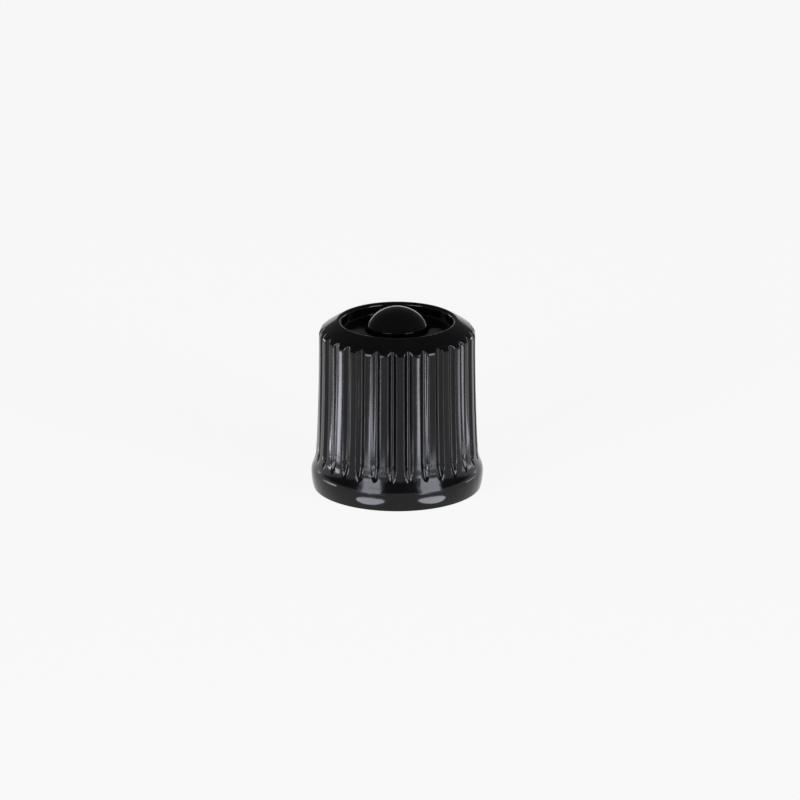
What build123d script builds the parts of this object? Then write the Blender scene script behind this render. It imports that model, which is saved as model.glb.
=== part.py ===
"""Moulded-plastic dust cap for a car tyre's valve stem.

One moulding, standing on its open mouth with +Z up and the valve stem's axis as Z. Sizes are in millimetres.
A bell-shaped wall of upright reeds stands in the cove of a barrel-shaped flange and ends in a sloping shoulder.
The top is sunk inside the rim and carries a low dome. The blind bore takes the stem's thread, and is left plain
at the thread's crests.
"""
import math
import os

from build123d import *

# Bore for the valve stem: a 7.75 mm thread of 32 turns to the inch
THREAD_MAJOR_D = 7.75
THREAD_DEPTH = 0.43
MOUTH_CLEARANCE = 0.125
MOUTH_DEPTH = 1.3
MOUTH_CHAMFER = 0.25
SEAT_CHAMFER = 0.25
PIN_RECESS_D = 2.8
PIN_RECESS_DEPTH = 1.0

# Bell-shaped side wall
SIDE_WALL = 1.115
BELL_FLARE = 0.23

# Reeds, and the grooves between them
REED_COUNT = 30
REED_DEPTH = 0.24
REED_LAND = 0.42
GROOVE_FLOOR = 0.14
RUN_OUT_TOP = 1.45
RUN_OUT_FOOT = 0.2

# Flange round the mouth: a barrel-shaped face, and the cove above it
FLANGE_HEIGHT = 1.4
FLANGE_LIP = 0.17
COVE_HEIGHT = 0.85
BARREL_LIP = 0.1
BARREL_HEIGHT = 0.93
BASE_INSET = 0.11
BASE_CHAMFER = 0.06

# Shoulder, with its slope in degrees at the wall and at the rim
SHOULDER_ROUND = 0.5
SHOULDER_WIDTH = 1.08
SHOULDER_SLOPE = 36.0
RIM_SLOPE = 28.0

# Rim, sunk top and dome
RIM_HEIGHT = 10.62
RIM_INNER_ROUND = 0.2
MOAT_DEPTH = 0.72
MOAT_CHAMFER = 0.12
CROWN_WALL = 1.2
DOME_D = 3.76
DOME_RISE = 0.81
DOME_SPRING = 0.3

# Distances that a cutter runs past the surface it opens, and that a groove's floor ends past the flange
REACH = 0.3
SINK = 0.02

# Radii and heights that follow from the sizes above
bore_radius = THREAD_MAJOR_D / 2 - THREAD_DEPTH
mouth_radius = THREAD_MAJOR_D / 2 + MOUTH_CLEARANCE
top_radius = bore_radius + SIDE_WALL + REED_DEPTH
foot_radius = top_radius + BELL_FLARE
flange_radius = foot_radius + FLANGE_LIP
barrel_radius = flange_radius + BARREL_LIP
base_radius = barrel_radius - BASE_INSET
rim_radius = top_radius - SHOULDER_WIDTH
dome_radius = DOME_D / 2
moat_floor = RIM_HEIGHT - MOAT_DEPTH
spring_height = RIM_HEIGHT - DOME_SPRING
seat_height = moat_floor - CROWN_WALL

# Shoulder: a round out of the wall, and an arc up to the rim, whose inner edge is rounded into the moat
round_angle = 90 - SHOULDER_SLOPE
rim_angle = 90 - RIM_SLOPE
rim_centre = (rim_radius - RIM_INNER_ROUND * math.cos(math.radians(rim_angle)), RIM_HEIGHT - RIM_INNER_ROUND)
rim_edge = (rim_radius, rim_centre[1] + RIM_INNER_ROUND * math.sin(math.radians(rim_angle)))
moat_radius = rim_centre[0] - RIM_INNER_ROUND
round_radius = top_radius - SHOULDER_ROUND
shoulder_run = round_radius + SHOULDER_ROUND * math.cos(math.radians(round_angle)) - rim_radius
shoulder_rise = shoulder_run * math.tan(math.radians((SHOULDER_SLOPE + RIM_SLOPE) / 2))
shoulder_foot = (rim_radius + shoulder_run, rim_edge[1] - shoulder_rise)
shoulder_height = shoulder_foot[1] - SHOULDER_ROUND * math.sin(math.radians(round_angle))
shoulder_direction = (-math.cos(math.radians(SHOULDER_SLOPE)), math.sin(math.radians(SHOULDER_SLOPE)))

# The bell line is an arc that leaves the shoulder upright and would meet the flange at the foot radius
bell_drop = shoulder_height - FLANGE_HEIGHT
bell_arc_radius = (bell_drop**2 + BELL_FLARE**2) / (2 * BELL_FLARE)


def bell_radius(height):
    """Radius of the bell line, along the reeds' crests, at a height."""
    return top_radius + bell_arc_radius - math.sqrt(bell_arc_radius**2 - (shoulder_height - height) ** 2)


DOWN = (0, -1)
UP = (0, 1)
bell_top = (top_radius, shoulder_height)
cove_height = FLANGE_HEIGHT + COVE_HEIGHT
cove_top = (bell_radius(cove_height), cove_height)
flange_edge = (flange_radius, FLANGE_HEIGHT)
base_edge = (base_radius, BASE_CHAMFER)

# Groove section, measured across from its middle line and outward from the reeds' crests
half_pitch = math.pi * top_radius / REED_COUNT
half_mouth = half_pitch - REED_LAND / 2
half_floor = GROOVE_FLOOR / 2

# Run-out of each groove: its path leaves the bell line and rises out of the cove
run_out_height = FLANGE_HEIGHT + RUN_OUT_TOP
run_out_top = (bell_radius(run_out_height), run_out_height)
run_out_foot = (flange_radius + REED_DEPTH + SINK, FLANGE_HEIGHT + RUN_OUT_FOOT)
run_out_slope = math.asin((shoulder_height - run_out_height) / bell_arc_radius)
run_out_direction = (math.sin(run_out_slope), -math.cos(run_out_slope))

# Dome, part of a sphere on a short upright side
dome_height = DOME_SPRING + DOME_RISE
dome_top = RIM_HEIGHT + DOME_RISE
dome_sphere = (dome_radius**2 + dome_height**2) / (2 * dome_height)
dome_angle = math.degrees(math.atan2(dome_sphere - dome_height, dome_radius))

# Recess for the valve pin, part of a sphere
pin_radius = PIN_RECESS_D / 2
pin_top = seat_height + PIN_RECESS_DEPTH
pin_sphere = (pin_radius**2 + PIN_RECESS_DEPTH**2) / (2 * PIN_RECESS_DEPTH)
pin_angle = math.degrees(math.atan2(pin_sphere - PIN_RECESS_DEPTH, pin_radius))

# Cutter for one groove, run down the bell line from above the rim
with BuildPart() as groove:
    groove_start = (top_radius, RIM_HEIGHT + REACH)
    with BuildLine(Plane.XZ) as groove_path:
        Line(groove_start, bell_top)
        TangentArc(bell_top, run_out_top, tangent=DOWN)
        TangentArc(run_out_top, run_out_foot, tangent=run_out_direction)
    groove_origin = (top_radius, 0, RIM_HEIGHT + REACH)
    with BuildSketch(Plane(origin=groove_origin, x_dir=(0, 1, 0), z_dir=(0, 0, -1))):
        Polygon(
            (-half_mouth, 0),
            (-half_floor, -REED_DEPTH),
            (half_floor, -REED_DEPTH),
            (half_mouth, 0),
            (half_mouth, REACH),
            (-half_mouth, REACH),
            align=None,
        )
    sweep(path=groove_path.line)

with BuildPart() as valve_cap:
    # Bell with its flange, shoulder, rim, sunk top and dome
    with BuildSketch(Plane.YZ):
        with BuildLine():
            Polyline((0, 0), (base_radius - BASE_CHAMFER, 0), base_edge)
            TangentArc((barrel_radius, BARREL_HEIGHT), base_edge, tangent=DOWN)
            TangentArc((barrel_radius, BARREL_HEIGHT), flange_edge, tangent=UP)
            bell_line = TangentArc(bell_top, cove_top, tangent=DOWN)
            TangentArc(cove_top, flange_edge, tangent=bell_line % 1)
            CenterArc((round_radius, shoulder_height), SHOULDER_ROUND, 0, round_angle)
            TangentArc(shoulder_foot, rim_edge, tangent=shoulder_direction)
            CenterArc(rim_centre, RIM_INNER_ROUND, rim_angle, 180 - rim_angle)
            Polyline(
                (moat_radius, rim_centre[1]),
                (moat_radius, moat_floor + MOAT_CHAMFER),
                (moat_radius - MOAT_CHAMFER, moat_floor),
                (dome_radius + MOAT_CHAMFER, moat_floor),
                (dome_radius, moat_floor + MOAT_CHAMFER),
                (dome_radius, spring_height),
            )
            CenterArc((0, dome_top - dome_sphere), dome_sphere, dome_angle, 90 - dome_angle)
            Line((0, dome_top), (0, 0))
        make_face()
    revolve(axis=Axis.Z)

    # Grooves that leave the reeds standing
    with PolarLocations(0, REED_COUNT):
        add(groove.part, mode=Mode.SUBTRACT)

    # Blind bore with its mouth, seat and recess for the valve pin
    with BuildSketch(Plane.YZ):
        with BuildLine():
            Polyline(
                (0, -REACH),
                (mouth_radius + MOUTH_CHAMFER + REACH, -REACH),
                (mouth_radius, MOUTH_CHAMFER),
                (mouth_radius, MOUTH_DEPTH),
                (bore_radius, MOUTH_DEPTH + mouth_radius - bore_radius),
                (bore_radius, seat_height - SEAT_CHAMFER),
                (bore_radius - SEAT_CHAMFER, seat_height),
                (pin_radius, seat_height),
            )
            CenterArc((0, pin_top - pin_sphere), pin_sphere, pin_angle, 90 - pin_angle)
            Line((0, pin_top), (0, -REACH))
        make_face()
    revolve(axis=Axis.Z, mode=Mode.SUBTRACT)

valve_cap.part.label = "valve_cap"
os.makedirs("parts", exist_ok=True)
export_step(valve_cap.part, "parts/valve_cap.step")
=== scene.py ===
import math

import bpy
from bpy.props import FloatProperty, FloatVectorProperty, IntProperty, PointerProperty
from mathutils import Matrix, Vector


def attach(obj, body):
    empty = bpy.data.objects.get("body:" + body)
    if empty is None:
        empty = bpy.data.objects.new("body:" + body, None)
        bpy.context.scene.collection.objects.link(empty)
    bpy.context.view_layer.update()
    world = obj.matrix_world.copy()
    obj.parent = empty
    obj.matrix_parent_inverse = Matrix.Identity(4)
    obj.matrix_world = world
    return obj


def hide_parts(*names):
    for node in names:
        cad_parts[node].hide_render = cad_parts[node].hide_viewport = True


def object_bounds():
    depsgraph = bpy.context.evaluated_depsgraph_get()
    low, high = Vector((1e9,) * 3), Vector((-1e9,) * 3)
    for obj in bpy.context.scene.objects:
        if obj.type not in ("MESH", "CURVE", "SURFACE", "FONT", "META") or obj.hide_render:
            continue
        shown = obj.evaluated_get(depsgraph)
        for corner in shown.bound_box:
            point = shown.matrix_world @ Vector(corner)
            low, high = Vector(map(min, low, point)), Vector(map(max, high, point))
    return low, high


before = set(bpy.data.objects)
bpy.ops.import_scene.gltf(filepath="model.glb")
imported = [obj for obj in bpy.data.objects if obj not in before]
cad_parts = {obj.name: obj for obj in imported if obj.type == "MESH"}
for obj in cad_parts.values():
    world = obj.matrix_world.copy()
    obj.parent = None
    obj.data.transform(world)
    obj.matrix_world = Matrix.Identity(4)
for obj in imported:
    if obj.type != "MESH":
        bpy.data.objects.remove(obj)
cad_low, cad_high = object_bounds()

bl_info = {
    "name": "Tyre valve cap",
    "version": (1, 0, 0),
    "blender": (4, 5, 0),
    "location": "3D View > Sidebar > Valve Cap",
    "description": "Builds a moulded tyre valve cap with reeds and an inside thread, and a plain studio",
    "category": "Object",
}

CAP_NODE = "valve_cap"
CAP_BODY = "root"
CAP_NAME = "moulded_cap"

CAD_RADIUS = min(cad_high.x, cad_high.y, -cad_low.x, -cad_low.y)
CAD_HEIGHT = cad_high.z

# Marks that the profile line carries to the node tree
WALL_MARK = "reeded_wall"
THREAD_MARK = "threaded_bore"
INSIDE_MARK = "inside_of_bore"

# Mesh rows along each stretch of the profile line
ROWS = {
    "pin recess": 7,
    "seat": 2,
    "seat fillet": 4,
    "mouth": 3,
    "mouth chamfer": 2,
    "base": 3,
    "base edge": 3,
    "lower flange": 6,
    "upper flange": 7,
    "cove": 14,
    "reed foot": 6,
    "reed": 6,
    "shoulder round": 10,
    "shoulder": 7,
    "rim": 9,
    "moat wall": 1,
    "moat fillet": 3,
    "moat floor": 3,
    "dome side": 1,
    "dome edge": 4,
    "dome": 11,
}

# Turns below the seat at which the thread starts, and turns over which it reaches its depth
THREAD_START = 0.4
THREAD_FADE = 0.6

# Shares of half a turn's rise at which the thread's crest ends and its root starts
CREST_END = 0.14
ROOT_START = 0.84

# Bands across half a reed, from its crest to the middle of the groove: the shares of its mesh columns at
# which each band starts and ends, and the size that it spans
REED_BANDS = (
    (0.0, 0.4, "Crest width"),
    (0.4, 0.6, "Edge width"),
    (0.6, 0.8, "Flank width"),
    (0.8, 0.9, "Edge width"),
    (0.9, 1.0, "Floor width"),
)

# Distance within which mesh points join, and the bend in degrees past which an edge is drawn sharp
JOIN_DISTANCE = 1e-7
SHARP_BEND = 40.0

# Noise in the plastic, in waves to the metre, and how far the drawn noise is stretched along the reeds
STREAK_NOISE = {"Scale": 3200.0, "Detail": 3.0, "Roughness": 0.55}
RUBBED_NOISE = {"Scale": 700.0, "Detail": 4.0, "Roughness": 0.6}
RIPPLE_NOISE = {"Scale": 1500.0, "Detail": 1.5, "Roughness": 0.4}
GRAIN_NOISE = {"Scale": 22000.0, "Detail": 2.0, "Roughness": 0.5}
DRAWN_SCALE = (1.0, 1.0, 0.16)

# Stretch of the noise that spans from polished to dull, and from plain to rubbed
STREAK_RANGE = {"From Min": 0.3, "From Max": 0.7}
RUBBED_RANGE = {"From Min": 0.5, "From Max": 0.75}

# How strongly the plastic bends light
PLASTIC_IOR = 1.5

# Softboxes, in degrees and metres: name, azimuth from the camera, elevation, distance, width, height and
# radiance
SOFTBOXES = (
    ("front_left_softbox", -36.0, 13.0, 0.40, 0.19, 0.19, 10.0),
    ("front_right_softbox", 46.0, 13.0, 0.40, 0.19, 0.19, 10.0),
    ("back_left_softbox", -134.0, 3.5, 0.40, 0.10, 0.04, 7.0),
    ("back_right_softbox", 134.0, 3.5, 0.40, 0.10, 0.04, 7.0),
)

# Lights that lie on the floor, in degrees and metres: name, outline, azimuth from the camera, nearest and
# farthest distance from the axis, width and radiance. Strips show on the reeds, bars at their feet and glows
# on the flange.
FLOOR_LIGHTS = (
    ("left_strip", "RECTANGLE", -86.0, 0.0138, 0.040, 0.0056, 13.0),
    ("right_strip", "RECTANGLE", 100.0, 0.0138, 0.040, 0.0060, 3.5),
    ("front_left_strip", "RECTANGLE", -31.5, 0.0172, 0.040, 0.0026, 15.0),
    ("front_right_strip", "RECTANGLE", 31.0, 0.0172, 0.040, 0.0036, 15.0),
    ("front_left_foot_bar", "RECTANGLE", -28.5, 0.0146, 0.0160, 0.0086, 12.0),
    ("front_right_foot_bar", "RECTANGLE", 39.5, 0.0146, 0.0160, 0.0080, 12.0),
    ("front_left_foot_glow", "ELLIPSE", -21.5, 0.0056, 0.0070, 0.0026, 9.5),
    ("front_right_foot_glow", "ELLIPSE", 28.5, 0.0056, 0.0070, 0.0026, 9.5),
)
FLOOR_LIGHT_HEIGHT = 0.0001

PLAIN_WHITE = (1.0, 1.0, 1.0, 1.0)

# Nearest and farthest distance that the camera sees
NEAR_CLIP = 0.01
FAR_CLIP = 10.0


def length(name, description, default):
    """A size in metres."""
    return FloatProperty(
        name=name,
        description=description,
        default=default,
        min=0.0,
        precision=5,
        unit="LENGTH",
        subtype="DISTANCE",
    )


def camera_length(name, description, default):
    """A size inside the camera, in millimetres."""
    return FloatProperty(name=name, description=description, default=default, min=1.0, unit="CAMERA")


def angle(name, description, degrees):
    """An angle, given in degrees."""
    return FloatProperty(name=name, description=description, default=math.radians(degrees), subtype="ANGLE")


def share(name, description, default, top=1.0):
    """A plain number from nought upward."""
    return FloatProperty(
        name=name, description=description, default=default, min=0.0, max=top, subtype="FACTOR"
    )


def count(name, description, default, least):
    """A whole number."""
    return IntProperty(name=name, description=description, default=default, min=least)


def colour(name, description, default):
    """A linear colour."""
    return FloatVectorProperty(
        name=name, description=description, default=default, min=0.0, max=1.0, size=3, subtype="COLOR"
    )


class CapShape(bpy.types.PropertyGroup):
    """Sizes of the moulding."""

    bore_radius: length("Bore radius", "Radius at the crests of the inside thread", 0.003445)
    thread_depth: length("Thread depth", "Radial depth of the inside thread", 0.00043)
    thread_pitch: length("Thread pitch", "Rise of the inside thread in one turn", 0.000794)
    mouth_radius: length("Mouth radius", "Radius of the plain mouth below the thread", 0.004)
    mouth_depth: length("Mouth depth", "Depth of the plain mouth", 0.0013)
    mouth_chamfer: length("Mouth chamfer", "Chamfer round the mouth", 0.00025)
    seat_height: length("Seat height", "Height of the flat end of the bore", 0.0087)
    seat_fillet: length("Seat fillet", "Fillet between the bore and its flat end", 0.00025)
    pin_radius: length("Pin recess radius", "Radius of the hollow above the valve pin", 0.0014)
    pin_depth: length("Pin recess depth", "Depth of the hollow above the valve pin", 0.001)
    top_radius: length("Top radius", "Radius over the reeds at the shoulder", 0.0048)
    bell_flare: length("Bell flare", "Growth of the radius from the shoulder to the flange", 0.00023)
    reed_count: count("Reeds", "Number of reeds round the wall", 30, 3)
    reed_depth: length("Reed depth", "Depth of the grooves between the reeds", 0.00024)
    reed_land: length("Reed land", "Width of a reed's crest", 0.00042)
    groove_floor: length("Groove floor", "Width of a groove's floor", 0.00014)
    reed_crown: length("Reed crown", "Radius of the slight round across a reed's crest", 0.0028)
    reed_softness: length("Reed softness", "Softness of a reed's edges and a groove's corners", 0.00002)
    reed_edge: length("Reed edge", "Width of the rounded edges of reeds and grooves", 0.00004)
    edge_softness: length("Edge softness", "Softness of the edges where a groove runs out", 0.00003)
    run_out_top: length("Run-out top", "Height at which the grooves start to run out", 0.00285)
    run_out_foot: length("Run-out foot", "Height at which the grooves leave the flange", 0.0016)
    run_out_sink: length("Run-out sink", "Distance from the flange to a groove's end", 0.00002)
    flange_height: length("Flange height", "Height of the flange round the mouth", 0.0014)
    cove_rise: length("Cove rise", "Height of the hollow curve above the flange", 0.00085)
    barrel_lip: length("Barrel lip", "Step from the flange's edge to its widest line", 0.0001)
    barrel_height: length("Barrel height", "Height of the flange's widest line", 0.00093)
    barrel_radius: length("Barrel radius", "Greatest radius, on the flange", CAD_RADIUS)
    base_inset: length("Base inset", "Inward curve of the flange down to the base", 0.00011)
    base_edge: length("Base edge", "Round at the edge of the base", 0.00006)
    shoulder_round: length("Shoulder round", "Radius of the corner between wall and shoulder", 0.0005)
    shoulder_width: length("Shoulder width", "Distance from the wall in to the rim", 0.00108)
    shoulder_slope: angle("Shoulder slope", "Slope of the shoulder next to the wall", 36.0)
    rim_slope: angle("Rim slope", "Slope of the shoulder at the rim", 28.0)
    rim_height: length("Rim height", "Height of the rim round the top", 0.01062)
    rim_round: length("Rim round", "Radius of the rim's inner edge", 0.0002)
    moat_depth: length("Moat depth", "Depth of the ring round the dome", 0.00072)
    moat_fillet: length("Moat fillet", "Fillets at the moat's floor", 0.00012)
    dome_radius: length("Dome radius", "Radius of the dome", 0.00188)
    dome_spring: length("Dome spring", "Drop from the rim to the start of the dome's curve", 0.0003)
    dome_edge: length("Dome edge", "Round at the edge of the dome", 0.00006)
    dome_top: length("Dome top", "Height of the top of the dome", CAD_HEIGHT)
    steps_per_reed: count("Steps per reed", "Mesh columns for each reed", 20, 8)
    steps_per_bore_column: count("Steps per bore column", "Mesh columns that join to one in the bore", 4, 1)
    rows_per_turn: count("Rows per turn", "Mesh rows for each turn of the thread", 24, 6)


class CapFinish(bpy.types.PropertyGroup):
    """Colours and gloss of the moulded plastic."""

    black: colour("Black", "Body colour of the plastic", (0.0014, 0.0014, 0.0018))
    worn_black: colour("Worn black", "Colour where the surface is rubbed", (0.003, 0.003, 0.0036))
    gloss: share("Specular", "Specular level of the plastic", 0.26)
    smooth_roughness: share("Least roughness", "Roughness of the most polished streaks", 0.08)
    dull_roughness: share("Greatest roughness", "Roughness of the dullest streaks", 0.16)
    ripple: length("Ripple height", "Height of the slow waves in the moulded surface", 0.000016)
    grain: length("Grain height", "Height of the fine moulded grain", 0.0000012)


class StageSetup(bpy.types.PropertyGroup):
    """Floor, room, lamp colour and camera."""

    floor_width: length("Floor width", "Width of the pale floor", 3.0)
    floor_gap: length("Floor gap", "Gap that keeps the floor off the base", 0.00001)
    floor_colour: colour("Floor colour", "Colour of the pale floor", (0.93, 0.93, 0.93))
    floor_white: share("Floor white", "Share of plain white in the floor, beside the light it gets", 0.9)
    room_high: share("Room above", "Brightness of the room above the horizon", 0.12, 10.0)
    room_low: share("Room at the horizon", "Brightness of the pale wall along the horizon", 1.0, 10.0)
    wall_rise: share("Wall rise", "Sine of the elevation at which the pale wall ends", 0.15)
    lamp_colour: colour("Lamp colour", "Colour of the lamps, a little cool", (0.88, 0.9, 1.0))
    camera_elevation: angle("Camera elevation", "Height of the camera above the horizon", 18.7)
    camera_azimuth: angle("Camera azimuth", "Turn of the camera round the cap", -2.4)
    camera_distance: length("Camera distance", "Distance from the camera to the cap", 0.4100)
    aim_height: length("Aim height", "Height of the point in the middle of the picture", 0.00544)
    aim_side: length("Aim offset", "Distance of that point to the right of the cap's axis", 0.000175)
    lens: camera_length("Lens", "Focal length of the camera", 300.0)
    sensor: camera_length("Sensor", "Width of the sensor", 36.0)


class NodeBench:
    """Adds nodes to one tree, and feeds each input a value or a link."""

    COLUMN = 190
    ROW = 170
    ROWS = 6

    def __init__(self, tree):
        self.tree = tree

    def feed(self, socket, value):
        if isinstance(value, bpy.types.NodeSocket):
            self.tree.links.new(value, socket)
        else:
            socket.default_value = value

    def add(self, kind, inputs=None, **settings):
        placed = len(self.tree.nodes)
        node = self.tree.nodes.new(kind)
        node.location = (self.COLUMN * (placed // self.ROWS), -self.ROW * (placed % self.ROWS))
        for name, value in settings.items():
            setattr(node, name, value)
        for key, value in (inputs or {}).items():
            self.feed(node.inputs[key], value)
        return node

    def math(self, operation, *values):
        node = self.add("ShaderNodeMath", operation=operation)
        for socket, value in zip(node.inputs, values):
            self.feed(socket, value)
        return node.outputs[0]

    def mixed_colour(self, factor, *colours):
        node = self.add("ShaderNodeMix", {"Factor": factor}, data_type="RGBA")
        sockets = [socket for socket in node.inputs if socket.type == "RGBA"]
        for socket, value in zip(sockets, colours):
            self.feed(socket, (*value, 1.0))
        return next(socket for socket in node.outputs if socket.type == "RGBA")

    def noise(self, place, texture):
        return self.add("ShaderNodeTexNoise", {"Vector": place, **texture}).outputs[0]


class ProfileLine:
    """The line that is turned about the axis, from the pin recess, by the mouth, to the top of the dome."""

    def __init__(self):
        self.points = []
        self.marks = {WALL_MARK: [], THREAD_MARK: [], INSIDE_MARK: []}
        self.in_bore = True

    def add(self, radius, height, wall=0.0, thread=0.0):
        self.points.append((max(radius, 0.0), 0.0, height))
        self.marks[WALL_MARK].append(wall)
        self.marks[THREAD_MARK].append(thread)
        self.marks[INSIDE_MARK].append(float(self.in_bore))

    def line(self, end, steps):
        start = self.points[-1]
        for step in range(1, steps + 1):
            part = step / steps
            self.add(start[0] + (end[0] - start[0]) * part, start[2] + (end[1] - start[2]) * part)

    def arc(self, centre, radius, first, last, steps, **marks):
        for step in range(1, steps + 1):
            turn = math.radians(first + (last - first) * step / steps)
            self.add(centre[0] + radius * math.cos(turn), centre[1] + radius * math.sin(turn), **marks)


def arc_radius(run, bulge):
    """Radius of an arc that curves aside by a bulge over a run."""
    return (run**2 + bulge**2) / (2 * bulge)


def flange_radius(shape):
    """Radius of the flange's upper edge."""
    return shape.barrel_radius - shape.barrel_lip


def rim_centre(shape):
    """Centre of the round at the rim's inner edge."""
    radius = shape.top_radius - shape.shoulder_width - shape.rim_round * math.sin(shape.rim_slope)
    return Vector((radius, shape.rim_height - shape.rim_round))


def shoulder_foot(shape):
    """Point where the round out of the wall ends and the sloping shoulder starts."""
    radius = shape.top_radius - shape.shoulder_round * (1 - math.sin(shape.shoulder_slope))
    rim_outward = Vector((math.sin(shape.rim_slope), math.cos(shape.rim_slope)))
    rim_edge = rim_centre(shape) + shape.rim_round * rim_outward
    rise = (radius - rim_edge.x) * math.tan((shape.shoulder_slope + shape.rim_slope) / 2)
    return Vector((radius, rim_edge.y - rise))


def shoulder_height(shape):
    """Height at which the wall stops being upright."""
    return shoulder_foot(shape).y - shape.shoulder_round * math.cos(shape.shoulder_slope)


def bell_arc_radius(shape):
    """Radius of the arc that the bell-shaped wall follows."""
    return arc_radius(shoulder_height(shape) - shape.flange_height, shape.bell_flare)


def bell_radius(shape, height):
    """Radius over the reeds at a height of the wall."""
    arc = bell_arc_radius(shape)
    drop = max(shoulder_height(shape) - height, 0.0)
    return shape.top_radius + arc - math.sqrt(arc**2 - drop**2)


def bell_slope(shape, height):
    """Growth of the wall's radius with depth, at a height."""
    arc = bell_arc_radius(shape)
    drop = shoulder_height(shape) - height
    return drop / math.sqrt(arc**2 - drop**2)


def eased(value):
    """Smooth step from nought to one."""
    value = min(max(value, 0.0), 1.0)
    return value * value * (3 - 2 * value)


def thread_rows(shape, rise):
    """Mesh rows along a rise of the bore."""
    return math.ceil(rise / shape.thread_pitch * shape.rows_per_turn)


def add_bore(profile, shape):
    """Hollow for the valve pin, seat, threaded bore and plain mouth."""
    bore = shape.bore_radius
    pin_top = shape.seat_height + shape.pin_depth
    pin_sphere = arc_radius(shape.pin_radius, shape.pin_depth)
    pin_angle = math.degrees(math.atan2(pin_sphere - shape.pin_depth, shape.pin_radius))
    profile.add(0.0, pin_top)
    profile.arc((0.0, pin_top - pin_sphere), pin_sphere, 90, pin_angle, ROWS["pin recess"])
    profile.line((bore - shape.seat_fillet, shape.seat_height), ROWS["seat"])
    seat_start = shape.seat_height - shape.seat_fillet
    profile.arc((bore - shape.seat_fillet, seat_start), shape.seat_fillet, 90, 0, ROWS["seat fillet"])

    # The thread reaches its depth below the seat, and fades along the cone above the mouth
    cone_top = shape.mouth_depth + shape.mouth_radius - bore
    bore_rows = thread_rows(shape, seat_start - cone_top)
    for row in range(1, bore_rows + 1):
        height = seat_start + (cone_top - seat_start) * row / bore_rows
        turns = (seat_start - height) / shape.thread_pitch
        profile.add(bore, height, thread=eased((turns - THREAD_START) / THREAD_FADE))
    cone_rows = thread_rows(shape, cone_top - shape.mouth_depth)
    for row in range(1, cone_rows + 1):
        part = row / cone_rows
        radius = bore + (shape.mouth_radius - bore) * part
        profile.add(radius, cone_top + (shape.mouth_depth - cone_top) * part, thread=1.0 - part)

    profile.line((shape.mouth_radius, shape.mouth_chamfer), ROWS["mouth"])
    profile.line((shape.mouth_radius + shape.mouth_chamfer, 0.0), ROWS["mouth chamfer"])
    profile.in_bore = False


def add_flange(profile, shape):
    """Ring that the cap stands on, and the barrel-shaped face of the flange."""
    base_radius = shape.barrel_radius - shape.base_inset
    edge = shape.base_edge
    profile.line((base_radius - edge, 0.0), ROWS["base"])
    profile.arc((base_radius - edge, edge), edge, -90, 0, ROWS["base edge"])
    lower_rise = shape.barrel_height - edge
    lower_arc = arc_radius(lower_rise, shape.base_inset)
    lower_turn = math.degrees(math.asin(lower_rise / lower_arc))
    lower_centre = (shape.barrel_radius - lower_arc, shape.barrel_height)
    profile.arc(lower_centre, lower_arc, -lower_turn, 0, ROWS["lower flange"])
    upper_rise = shape.flange_height - shape.barrel_height
    upper_arc = arc_radius(upper_rise, shape.barrel_lip)
    upper_turn = math.degrees(math.asin(upper_rise / upper_arc))
    upper_centre = (shape.barrel_radius - upper_arc, shape.barrel_height)
    profile.arc(upper_centre, upper_arc, 0, upper_turn, ROWS["upper flange"])


def add_bell(profile, shape):
    """Cove above the flange, tangent to the bell, and the bell-shaped wall."""
    cove_top = shape.flange_height + shape.cove_rise
    outward = Vector((1.0, bell_slope(shape, cove_top))).normalized()
    top_point = Vector((bell_radius(shape, cove_top), cove_top))
    span = Vector((flange_radius(shape), shape.flange_height)) - top_point
    cove_arc = span.length_squared / (2 * span.dot(outward))
    cove_centre = top_point + outward * cove_arc
    cove_rows = ROWS["cove"]
    for row in range(1, cove_rows + 1):
        height = shape.flange_height + shape.cove_rise * row / cove_rows
        radius = cove_centre.x - math.sqrt(cove_arc**2 - (height - cove_centre.y) ** 2)
        profile.add(radius, height, wall=1.0)

    reed_foot = (cove_top, shape.run_out_top, ROWS["reed foot"])
    reed = (shape.run_out_top, shoulder_height(shape), ROWS["reed"])
    for start, end, rows in (reed_foot, reed):
        for row in range(1, rows + 1):
            height = start + (end - start) * row / rows
            profile.add(bell_radius(shape, height), height, wall=1.0)


def add_shoulder(profile, shape):
    """Round out of the wall, slope up to the rim, and the rim's rounded inner edge."""
    round_centre = (shape.top_radius - shape.shoulder_round, shoulder_height(shape))
    round_end = 90 - math.degrees(shape.shoulder_slope)
    profile.arc(round_centre, shape.shoulder_round, 0, round_end, ROWS["shoulder round"], wall=1.0)
    foot = shoulder_foot(shape)
    rim = rim_centre(shape)
    rim_start = 90 - math.degrees(shape.rim_slope)
    slope_run = foot.x - rim.x - shape.rim_round * math.sin(shape.rim_slope)
    mean_slope = (shape.shoulder_slope + shape.rim_slope) / 2
    half_bend = (shape.shoulder_slope - shape.rim_slope) / 2
    slope_arc = slope_run / math.cos(mean_slope) / (2 * math.sin(half_bend))
    slope_outward = Vector((math.sin(shape.shoulder_slope), math.cos(shape.shoulder_slope)))
    slope_centre = foot - slope_arc * slope_outward
    profile.arc(slope_centre, slope_arc, round_end, rim_start, ROWS["shoulder"], wall=1.0)
    profile.arc(rim, shape.rim_round, rim_start, 180, ROWS["rim"])


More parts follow.
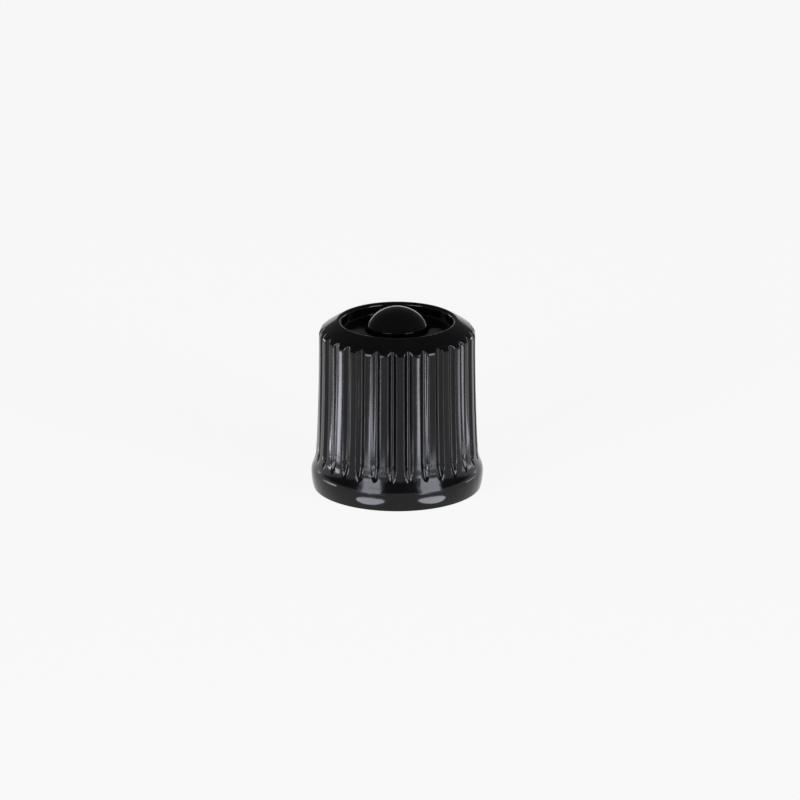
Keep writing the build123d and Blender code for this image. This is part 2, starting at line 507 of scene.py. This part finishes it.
def add_top(profile, shape):
    """Moat inside the rim, and the dome in its middle."""
    moat_radius = rim_centre(shape).x - shape.rim_round
    moat_floor = shape.rim_height - shape.moat_depth
    fillet = shape.moat_fillet
    fillet_height = moat_floor + fillet
    profile.line((moat_radius, fillet_height), ROWS["moat wall"])
    profile.arc((moat_radius - fillet, fillet_height), fillet, 0, -90, ROWS["moat fillet"])
    profile.line((shape.dome_radius + fillet, moat_floor), ROWS["moat floor"])
    profile.arc((shape.dome_radius + fillet, fillet_height), fillet, -90, -180, ROWS["moat fillet"])

    rise = shape.dome_top - shape.rim_height + shape.dome_spring
    sphere = arc_radius(shape.dome_radius, rise)
    sphere_centre = shape.dome_top - sphere
    edge = shape.dome_edge
    edge_radius = shape.dome_radius - edge
    edge_rise = math.sqrt((sphere - edge) ** 2 - edge_radius**2)
    edge_angle = math.degrees(math.atan2(edge_rise, edge_radius))
    profile.line((shape.dome_radius, sphere_centre + edge_rise), ROWS["dome side"])
    profile.arc((edge_radius, sphere_centre + edge_rise), edge, 0, edge_angle, ROWS["dome edge"])
    profile.arc((0.0, sphere_centre), sphere, edge_angle, 90, ROWS["dome"])


def cap_profile(shape):
    """The cap's profile line, with marks on its reeded wall, its thread and its inside."""
    profile = ProfileLine()
    for add_stretch in (add_bore, add_flange, add_bell, add_shoulder, add_top):
        add_stretch(profile, shape)
    return profile


def profile_object(profile):
    """The profile line as an object, with its marks as attributes."""
    mesh = bpy.data.meshes.new(CAP_NAME)
    edges = [(row, row + 1) for row in range(len(profile.points) - 1)]
    mesh.from_pydata(profile.points, edges, [])
    for name, marks in profile.marks.items():
        attribute = mesh.attributes.new(name, "FLOAT", "POINT")
        attribute.data.foreach_set("value", marks)
    cap = bpy.data.objects.new(CAP_NAME, mesh)
    bpy.context.scene.collection.objects.link(cap)
    return cap


def input_sockets(tree, sizes):
    """Gives the tree a geometry and a material socket, and one named input for each size."""
    tree.interface.new_socket("Geometry", in_out="INPUT", socket_type="NodeSocketGeometry")
    for name, value in sizes.items():
        kind = "NodeSocketInt" if isinstance(value, int) else "NodeSocketFloat"
        tree.interface.new_socket(name, in_out="INPUT", socket_type=kind)
    tree.interface.new_socket("Material", in_out="INPUT", socket_type="NodeSocketMaterial")
    tree.interface.new_socket("Geometry", in_out="OUTPUT", socket_type="NodeSocketGeometry")


def reed_columns(bench, size, column):
    """Angle round the cap, and distance off a reed's crest, of a mesh column: columns gather at the edges."""
    reeds = bench.math("DIVIDE", column, size["Steps per reed"])
    swing = bench.math("MULTIPLY_ADD", bench.math("FRACT", reeds), 2.0, -1.0)
    off_crest = bench.math("ABSOLUTE", swing)
    across = 0.0
    for start, end, width in REED_BANDS:
        band = {"Value": off_crest, "From Min": start, "From Max": end, "To Max": size[width]}
        across = bench.math("ADD", bench.add("ShaderNodeMapRange", band).outputs["Result"], across)
    aside = bench.math("MULTIPLY", across, bench.math("SIGN", swing))
    angle_aside = bench.math("DIVIDE", aside, size["Top radius"])
    crest = bench.math("DIVIDE", bench.math("ADD", bench.math("FLOOR", reeds), 0.5), size["Reed count"])
    return bench.math("MULTIPLY_ADD", crest, math.tau, angle_aside), across


def bore_columns(bench, size, column, columns):
    """Angle round the bore of a mesh column: neighbouring columns share one angle, and join there."""
    joined = bench.math("ROUND", bench.math("DIVIDE", column, size["Steps per bore column"]))
    turned = bench.math("DIVIDE", bench.math("MULTIPLY", joined, size["Steps per bore column"]), columns)
    return bench.math("MULTIPLY", turned, math.tau)


def groove_depth(bench, size, across):
    """Depth of the grooves off a reed's crest: nearly nought on the crest, full on a groove's floor."""
    past_land = bench.math("SUBTRACT", across, bench.math("MULTIPLY", size["Reed land"], 0.5))
    flank = bench.math("MULTIPLY", past_land, size["Flank steepness"])
    crown = bench.math("MULTIPLY", bench.math("POWER", across, 2.0), size["Crest curvature"])
    rounded_edge = bench.math("SMOOTH_MAX", flank, crown, size["Reed softness"])
    return bench.math("SMOOTH_MIN", rounded_edge, size["Reed depth"], size["Reed softness"])


def arc_bulge(bench, arc, start, height):
    """Distance that an upright arc has curved away at a height below its start."""
    drop = bench.math("MAXIMUM", bench.math("SUBTRACT", start, height), 0.0)
    squares = bench.math("SUBTRACT", bench.math("POWER", arc, 2.0), bench.math("POWER", drop, 2.0))
    return bench.math("SUBTRACT", arc, bench.math("SQRT", bench.math("MAXIMUM", squares, 0.0)))


def reeded_radius(bench, size, radius, height, depth):
    """Radius of the reeded wall: the grooves follow the bell and run out at its foot."""
    flare = arc_bulge(bench, size["Bell arc"], size["Shoulder height"], height)
    run_out_arc = bench.math("ADD", size["Run-out arc"], depth)
    run_out = arc_bulge(bench, run_out_arc, size["Run-out top"], height)
    crest = bench.math("ADD", bench.math("ADD", size["Top radius"], flare), run_out)
    cut = bench.math("SUBTRACT", crest, depth)
    return bench.math("SMOOTH_MIN", cut, radius, size["Edge softness"])


def thread_cut(bench, size, around, height):
    """Depth of the right-handed thread at an angle and a height."""
    rise = bench.math("DIVIDE", height, size["Thread pitch"])
    phase = bench.math("FRACT", bench.math("SUBTRACT", rise, bench.math("DIVIDE", around, math.tau)))
    ridge = bench.math("ABSOLUTE", bench.math("MULTIPLY_ADD", phase, 2.0, -1.0))
    flats = bench.add(
        "ShaderNodeMapRange",
        {"Value": ridge, "From Min": CREST_END, "From Max": ROOT_START, "To Min": 0.0, "To Max": 1.0},
        interpolation_type="SMOOTHSTEP",
    )
    return bench.math("MULTIPLY", flats.outputs["Result"], size["Thread depth"])


def finished_mesh(bench, mesh, material):
    """The turned mesh with its seams joined, its shading set and its material on."""
    closed = bench.add("GeometryNodeMergeByDistance", {"Geometry": mesh, "Distance": JOIN_DISTANCE})
    smooth = bench.add("GeometryNodeSetShadeSmooth", {"Geometry": closed.outputs[0]}, domain="FACE")
    bend = bench.add("GeometryNodeInputMeshEdgeAngle").outputs["Unsigned Angle"]
    sharp = bench.math("GREATER_THAN", bend, math.radians(SHARP_BEND))
    creased = bench.add(
        "GeometryNodeSetShadeSmooth",
        {"Geometry": smooth.outputs[0], "Selection": sharp, "Shade Smooth": False},
        domain="EDGE",
    )
    real = bench.add("GeometryNodeRealizeInstances", {"Geometry": creased.outputs[0]})
    coated = bench.add("GeometryNodeSetMaterial", {"Geometry": real.outputs[0], "Material": material})
    return coated.outputs[0]


def cap_tree(sizes):
    """Node tree that turns the profile line about the axis, and cuts the reeds and the thread."""
    tree = bpy.data.node_groups.new("Turned cap with reeds and thread", "GeometryNodeTree")
    input_sockets(tree, sizes)
    bench = NodeBench(tree)
    size = bench.add("NodeGroupInput").outputs
    line = size["Geometry"]

    # A grid with one row for each profile point and one column for each step round
    rows = bench.add("GeometryNodeAttributeDomainSize", {"Geometry": line}).outputs["Point Count"]
    columns = bench.math("MULTIPLY", size["Reed count"], size["Steps per reed"])
    grid_points = {"Vertices X": bench.math("ADD", columns, 1.0), "Vertices Y": rows}
    grid = bench.add("GeometryNodeMeshGrid", grid_points).outputs["Mesh"]
    index = bench.add("GeometryNodeInputIndex").outputs[0]
    column = bench.math("FLOOR", bench.math("DIVIDE", index, rows))
    row = bench.math("SUBTRACT", index, bench.math("MULTIPLY", column, rows))

    def sampled(value, kind):
        source = {"Geometry": line, "Value": value, "Index": row}
        return bench.add("GeometryNodeSampleIndex", source, data_type=kind, domain="POINT").outputs[0]

    def marked(name):
        named = bench.add("GeometryNodeInputNamedAttribute", {"Name": name}, data_type="FLOAT")
        return sampled(named.outputs["Attribute"], "FLOAT")

    point = sampled(bench.add("GeometryNodeInputPosition").outputs[0], "FLOAT_VECTOR")
    parts = bench.add("ShaderNodeSeparateXYZ", {"Vector": point}).outputs
    radius, height = parts["X"], parts["Z"]

    # Columns gather at the edges of the reeds outside, and are fewer and even inside the bore
    reed_around, across = reed_columns(bench, size, column)
    turns = {
        "Switch": marked(INSIDE_MARK),
        "False": reed_around,
        "True": bore_columns(bench, size, column, columns),
    }
    around = bench.add("GeometryNodeSwitch", turns, input_type="FLOAT").outputs[0]

    # Reeds on the wall, thread in the bore
    depth = groove_depth(bench, size, across)
    reeded = reeded_radius(bench, size, radius, height, depth)
    cut_in = bench.math("MULTIPLY", bench.math("SUBTRACT", reeded, radius), marked(WALL_MARK))
    cut_out = bench.math("MULTIPLY", thread_cut(bench, size, around, height), marked(THREAD_MARK))
    turned = bench.math("ADD", radius, bench.math("ADD", cut_in, cut_out))
    place = bench.add(
        "ShaderNodeCombineXYZ",
        {
            "X": bench.math("MULTIPLY", turned, bench.math("COSINE", around)),
            "Y": bench.math("MULTIPLY", turned, bench.math("SINE", around)),
            "Z": height,
        },
    ).outputs["Vector"]
    moved = bench.add("GeometryNodeSetPosition", {"Geometry": grid, "Position": place}).outputs[0]
    bench.add("NodeGroupOutput", {"Geometry": finished_mesh(bench, moved, size["Material"])})
    return tree


def cap_sizes(shape):
    """The node tree's inputs, from the sizes of the cap."""
    half_pitch = math.pi * shape.top_radius / shape.reed_count
    flank_run = half_pitch - (shape.reed_land + shape.groove_floor) / 2
    run_out_drop = shape.run_out_top - shape.run_out_foot
    run_out_end = flange_radius(shape) + shape.reed_depth + shape.run_out_sink
    run_out_lift = run_out_end - bell_radius(shape, shape.run_out_foot)
    return {
        "Reed count": shape.reed_count,
        "Steps per reed": shape.steps_per_reed,
        "Steps per bore column": shape.steps_per_bore_column,
        "Reed depth": shape.reed_depth,
        "Reed land": shape.reed_land,
        "Flank steepness": shape.reed_depth / flank_run,
        "Crest curvature": 0.5 / shape.reed_crown,
        "Reed softness": shape.reed_softness,
        "Crest width": (shape.reed_land - shape.reed_edge) / 2,
        "Edge width": shape.reed_edge,
        "Flank width": flank_run - shape.reed_edge,
        "Floor width": (shape.groove_floor - shape.reed_edge) / 2,
        "Edge softness": shape.edge_softness,
        "Top radius": shape.top_radius,
        "Shoulder height": shoulder_height(shape),
        "Bell arc": bell_arc_radius(shape),
        "Run-out top": shape.run_out_top,
        "Run-out arc": arc_radius(run_out_drop, run_out_lift),
        "Thread pitch": shape.thread_pitch,
        "Thread depth": shape.thread_depth,
    }


def apply_tree(cap, tree, sizes, material):
    """Runs the tree on the cap's object and leaves the result as its plain mesh."""
    modifier = cap.modifiers.new("Turned cap", "NODES")
    modifier.node_group = tree
    values = dict(sizes, Material=material)
    for item in tree.interface.items_tree:
        if item.in_out == "INPUT" and item.name in values:
            modifier[item.identifier] = values[item.name]
    depsgraph = bpy.context.evaluated_depsgraph_get()
    evaluated = cap.evaluated_get(depsgraph)
    mesh = bpy.data.meshes.new_from_object(evaluated, preserve_all_data_layers=True, depsgraph=depsgraph)
    line = cap.data
    cap.modifiers.clear()
    cap.data = mesh
    bpy.data.meshes.remove(line)
    mesh.name = CAP_NAME
    if not mesh.polygons:
        raise RuntimeError("The node tree made no faces for the cap")


def moulded_plastic(finish):
    """Black moulded plastic with drawn streaks, slow ripples and a fine grain."""
    material = bpy.data.materials.new("black_moulded_plastic")
    material.use_nodes = True
    tree = material.node_tree
    tree.nodes.clear()
    bench = NodeBench(tree)
    place = bench.add("ShaderNodeTexCoord").outputs["Object"]

    # Streaks along the reeds, where the moulding was drawn out of its tool
    stretch = {"Vector": place, "Scale": DRAWN_SCALE}
    drawn = bench.add("ShaderNodeMapping", stretch, vector_type="POINT").outputs[0]
    polish = {
        "Value": bench.noise(drawn, STREAK_NOISE),
        **STREAK_RANGE,
        "To Min": finish.smooth_roughness,
        "To Max": finish.dull_roughness,
    }
    roughness = bench.add("ShaderNodeMapRange", polish).outputs["Result"]

    # Rubbed patches, a little paler
    rub = {"Value": bench.noise(place, RUBBED_NOISE), **RUBBED_RANGE}
    rubbed = bench.add("ShaderNodeMapRange", rub).outputs["Result"]
    tint = bench.mixed_colour(rubbed, finish.black, finish.worn_black)

    # Slow ripples left by shrinkage, and the grain of the tool
    waves = {"Height": bench.noise(drawn, RIPPLE_NOISE), "Strength": 1.0, "Distance": finish.ripple}
    ripple = bench.add("ShaderNodeBump", waves).outputs["Normal"]
    specks = {"Height": bench.noise(place, GRAIN_NOISE), "Strength": 1.0, "Distance": finish.grain}
    grain = bench.add("ShaderNodeBump", {**specks, "Normal": ripple}).outputs["Normal"]

    shader = bench.add(
        "ShaderNodeBsdfPrincipled",
        {
            "Base Color": tint,
            "Roughness": roughness,
            "Normal": grain,
            "IOR": PLASTIC_IOR,
            "Specular IOR Level": finish.gloss,
        },
    )
    bench.add("ShaderNodeOutputMaterial", {"Surface": shader.outputs["BSDF"]})
    return material


class CAP_OT_moulding(bpy.types.Operator):
    """Build the moulded cap with its reeds, flange, sunk top and threaded bore"""

    bl_idname = "valve_cap.moulding"
    bl_label = "Moulded Cap"

    def execute(self, context):
        shape = context.scene.valve_cap_shape
        sizes = cap_sizes(shape)
        cap = profile_object(cap_profile(shape))
        apply_tree(cap, cap_tree(sizes), sizes, moulded_plastic(context.scene.valve_cap_finish))
        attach(cap, CAP_BODY)
        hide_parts(CAP_NODE)
        return {"FINISHED"}


def toward(azimuth, elevation):
    """Unit vector from the cap: azimuth nought is the front, and it grows to the right."""
    flat = math.cos(elevation)
    return Vector((math.sin(azimuth) * flat, -math.cos(azimuth) * flat, math.sin(elevation)))


def area_light(stage, name, outline, width, height, radiance):
    """An area light, hidden from the camera."""
    light = bpy.data.lights.new(name, "AREA")
    light.shape = outline
    light.color = stage.lamp_colour
    light.size = width
    light.size_y = height
    light.energy = radiance * math.pi * width * height
    lamp = bpy.data.objects.new(name, light)
    lamp.visible_camera = False
    bpy.context.scene.collection.objects.link(lamp)
    return lamp


def add_softbox(stage, name, azimuth, elevation, distance, width, height, radiance):
    """A softbox that faces the cap."""
    lamp = area_light(stage, name, "RECTANGLE", width, height, radiance)
    direction = toward(stage.camera_azimuth + math.radians(azimuth), math.radians(elevation))
    lamp.location = Vector((0.0, 0.0, stage.aim_height)) + direction * distance
    lamp.rotation_euler = (-direction).to_track_quat("-Z", "Y").to_euler()


def add_floor_light(stage, name, outline, azimuth, nearest, farthest, width, radiance):
    """A light that lies on the floor, points away from the cap and shines upward."""
    lamp = area_light(stage, name, outline, width, farthest - nearest, radiance)
    outward = toward(stage.camera_azimuth + math.radians(azimuth), 0.0)
    lamp.location = outward * (nearest + farthest) / 2 + Vector((0.0, 0.0, FLOOR_LIGHT_HEIGHT))
    down = Vector((0.0, 0.0, -1.0))
    lamp.rotation_euler = Matrix((outward.cross(down), outward, down)).transposed().to_euler()


def pale_paper(stage):
    """Matt paper that shows part plain white and part the light and shadow on it."""
    paper = bpy.data.materials.new("pale_paper")
    paper.use_nodes = True
    paper.node_tree.nodes.clear()
    bench = NodeBench(paper.node_tree)
    rays = bench.add("ShaderNodeLightPath").outputs
    seen = bench.math("ADD", rays["Is Camera Ray"], rays["Is Glossy Ray"])
    seen = bench.math("MINIMUM", bench.math("ADD", seen, rays["Is Transmission Ray"]), 1.0)
    matt = bench.add("ShaderNodeBsdfDiffuse", {"Color": (*stage.floor_colour, 1.0)})
    white = bench.add("ShaderNodeEmission", {"Color": PLAIN_WHITE, "Strength": 1.0})
    mixed = bench.add("ShaderNodeMixShader", {"Fac": bench.math("MULTIPLY", seen, stage.floor_white)})
    bench.feed(mixed.inputs[1], matt.outputs[0])
    bench.feed(mixed.inputs[2], white.outputs[0])
    bench.add("ShaderNodeOutputMaterial", {"Surface": mixed.outputs[0]})
    return paper


def add_floor(stage):
    """A pale floor, a hair under the cap's base."""
    half = stage.floor_width / 2
    sides = ((-half, -half), (half, -half), (half, half), (-half, half))
    mesh = bpy.data.meshes.new("pale_floor")
    mesh.from_pydata([(x, y, -stage.floor_gap) for x, y in sides], [], [(0, 1, 2, 3)])
    mesh.materials.append(pale_paper(stage))
    floor = bpy.data.objects.new("pale_floor", mesh)
    bpy.context.scene.collection.objects.link(floor)


def add_room(stage):
    """A dim room with a pale wall along the horizon."""
    world = bpy.data.worlds.new("graded_room")
    world.use_nodes = True
    world.node_tree.nodes.clear()
    bench = NodeBench(world.node_tree)
    direction = bench.add("ShaderNodeTexCoord").outputs["Generated"]
    rise = bench.add("ShaderNodeSeparateXYZ", {"Vector": direction}).outputs["Z"]
    strength = bench.add(
        "ShaderNodeMapRange",
        {
            "Value": rise,
            "From Min": stage.wall_rise / 2,
            "From Max": stage.wall_rise,
            "To Min": stage.room_low,
            "To Max": stage.room_high,
        },
        interpolation_type="SMOOTHSTEP",
    ).outputs["Result"]
    background = bench.add("ShaderNodeBackground", {"Color": PLAIN_WHITE, "Strength": strength})
    bench.add("ShaderNodeOutputWorld", {"Surface": background.outputs[0]})
    bpy.context.scene.world = world


def add_camera(stage):
    """A long lens, a little above the cap."""
    data = bpy.data.cameras.new("camera")
    data.lens = stage.lens
    data.sensor_width = stage.sensor
    data.clip_start = NEAR_CLIP
    data.clip_end = FAR_CLIP
    camera = bpy.data.objects.new("camera", data)
    direction = toward(stage.camera_azimuth, stage.camera_elevation)
    right = Vector((math.cos(stage.camera_azimuth), math.sin(stage.camera_azimuth), 0.0))
    aim = Vector((0.0, 0.0, stage.aim_height)) + right * stage.aim_side
    camera.location = aim + direction * stage.camera_distance
    camera.rotation_euler = (-direction).to_track_quat("-Z", "Y").to_euler()
    bpy.context.scene.collection.objects.link(camera)
    bpy.context.scene.camera = camera


class CAP_OT_stage(bpy.types.Operator):
    """Set up the pale floor, the dim room, the softboxes, the lights on the floor and the camera"""

    bl_idname = "valve_cap.stage"
    bl_label = "Stage"

    def execute(self, context):
        stage = context.scene.valve_cap_stage
        context.scene.view_settings.view_transform = "Standard"
        add_floor(stage)
        add_room(stage)
        for softbox in SOFTBOXES:
            add_softbox(stage, *softbox)
        for floor_light in FLOOR_LIGHTS:
            add_floor_light(stage, *floor_light)
        add_camera(stage)
        return {"FINISHED"}


class CAP_PT_panel(bpy.types.Panel):
    """Lists the cap's piece, its stage and their settings"""

    bl_idname = "CAP_PT_panel"
    bl_label = "Valve Cap"
    bl_space_type = "VIEW_3D"
    bl_region_type = "UI"
    bl_category = "Valve Cap"

    def draw(self, context):
        scene = context.scene
        groups = (
            (CAP_OT_moulding, (scene.valve_cap_shape, scene.valve_cap_finish)),
            (CAP_OT_stage, (scene.valve_cap_stage,)),
        )
        for operator, settings in groups:
            box = self.layout.box()
            box.operator(operator.bl_idname)
            for group in settings:
                for name in group.__annotations__:
                    box.prop(group, name)


CLASSES = (CapShape, CapFinish, StageSetup, CAP_OT_moulding, CAP_OT_stage, CAP_PT_panel)


def register():
    for cls in CLASSES:
        bpy.utils.register_class(cls)
    bpy.types.Scene.valve_cap_shape = PointerProperty(type=CapShape)
    bpy.types.Scene.valve_cap_finish = PointerProperty(type=CapFinish)
    bpy.types.Scene.valve_cap_stage = PointerProperty(type=StageSetup)


def unregister():
    del bpy.types.Scene.valve_cap_stage
    del bpy.types.Scene.valve_cap_finish
    del bpy.types.Scene.valve_cap_shape
    for cls in reversed(CLASSES):
        bpy.utils.unregister_class(cls)


def main():
    register()
    bpy.ops.valve_cap.moulding()
    bpy.ops.valve_cap.stage()


if __name__ == "__main__":
    main()
